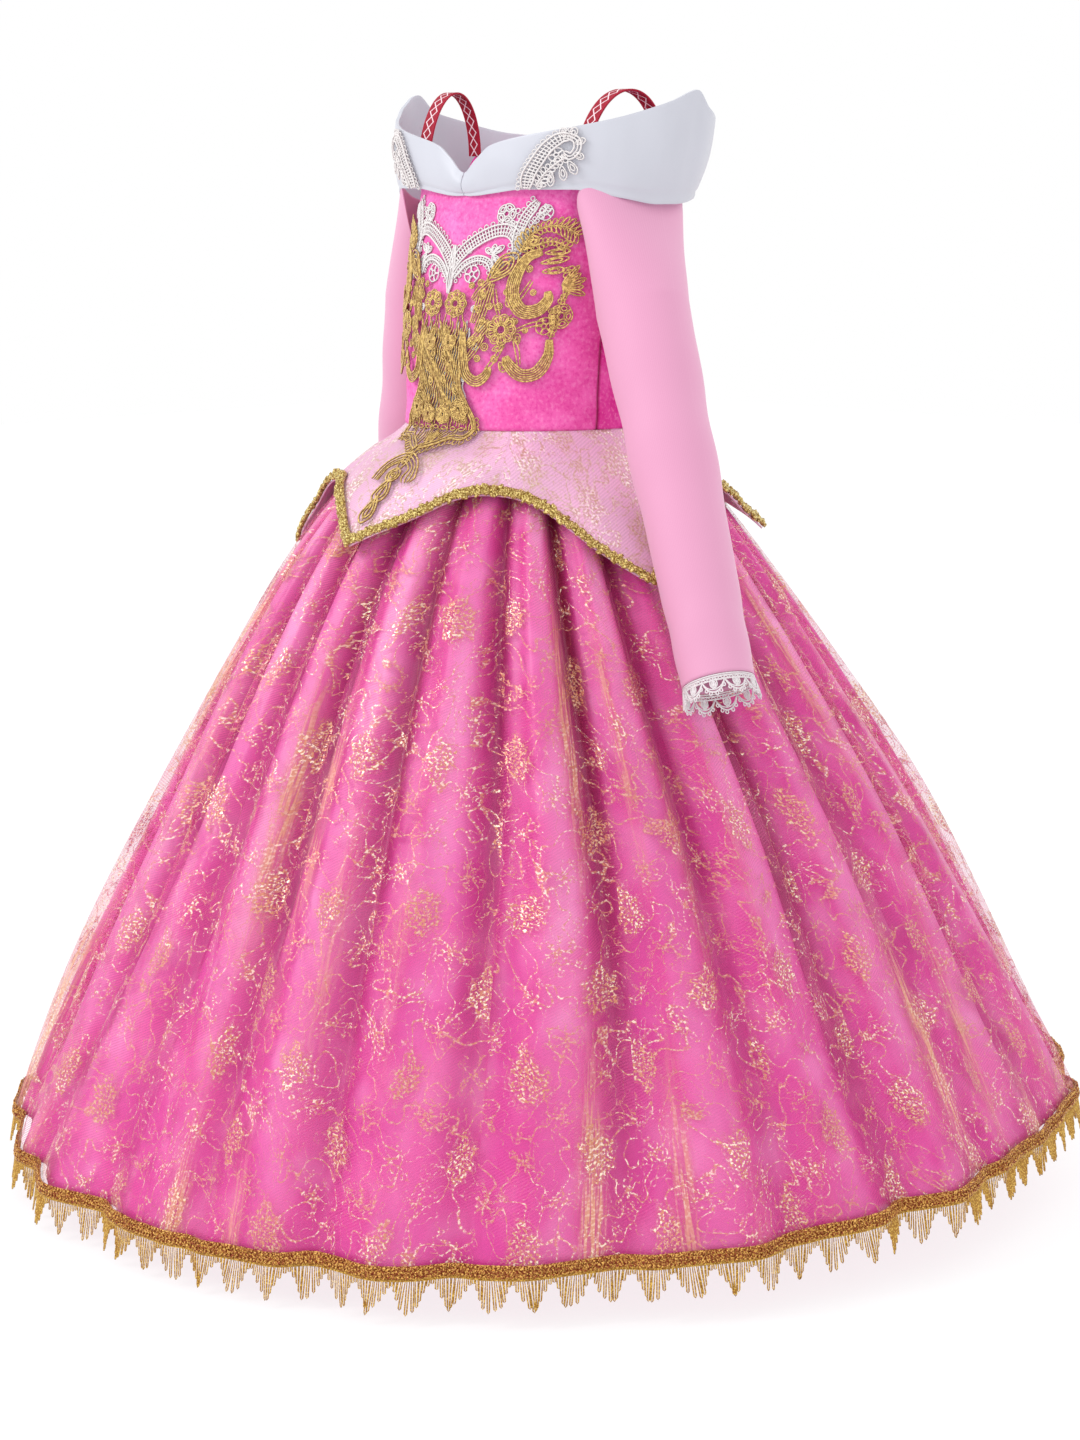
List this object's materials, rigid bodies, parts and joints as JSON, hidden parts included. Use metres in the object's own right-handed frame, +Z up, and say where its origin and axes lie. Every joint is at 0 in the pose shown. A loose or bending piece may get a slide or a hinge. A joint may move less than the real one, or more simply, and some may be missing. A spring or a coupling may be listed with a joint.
{
  "type": "child's princess costume dress",
  "caption": "Child's long-sleeved princess costume dress with an off-shoulder collar, pointed peplum and full pleated skirt.",
  "frame": {"origin": "midway between the tops of the two shoulder straps, where the wearer's shoulders hold the dress", "axes": "+Z up, the wearer faces -Y, the wearer's left side is +X"},
  "size_m": [0.8013, 0.8011, 0.7828],
  "materials": {
    "bodice_velvet": "stretch velvet",
    "collar_satin": "satin",
    "sleeve_mesh": "sheer knit",
    "skirt_satin": "satin",
    "skirt_lace": "fine net with metallic thread",
    "peplum_satin": "satin with lace laid on it",
    "gold_braid": "metallic braid",
    "guipure_gold": "guipure lace",
    "guipure_white": "guipure lace",
    "strap_braid": "woven braid"
  },
  "bodies": {
    "root": {"bodice_front": "bodice_velvet", "bodice_back_left": "bodice_velvet", "bodice_back_right": "bodice_velvet", "collar_left": "collar_satin", "collar_right": "collar_satin", "strap_left": "strap_braid", "strap_right": "strap_braid", "sleeve_left": "sleeve_mesh", "sleeve_right": "sleeve_mesh", "cuff_lace_left": "guipure_white", "cuff_lace_right": "guipure_white", "peplum": "peplum_satin", "peplum_braid": "gold_braid", "skirt_satin": "skirt_satin", "skirt_lace": "skirt_lace", "hem_braid": "gold_braid", "guipure_gold": "guipure_gold", "guipure_white": "guipure_white", "collar_lace_left": "guipure_white", "collar_lace_right": "guipure_white"}
  },
  "joints": []
}
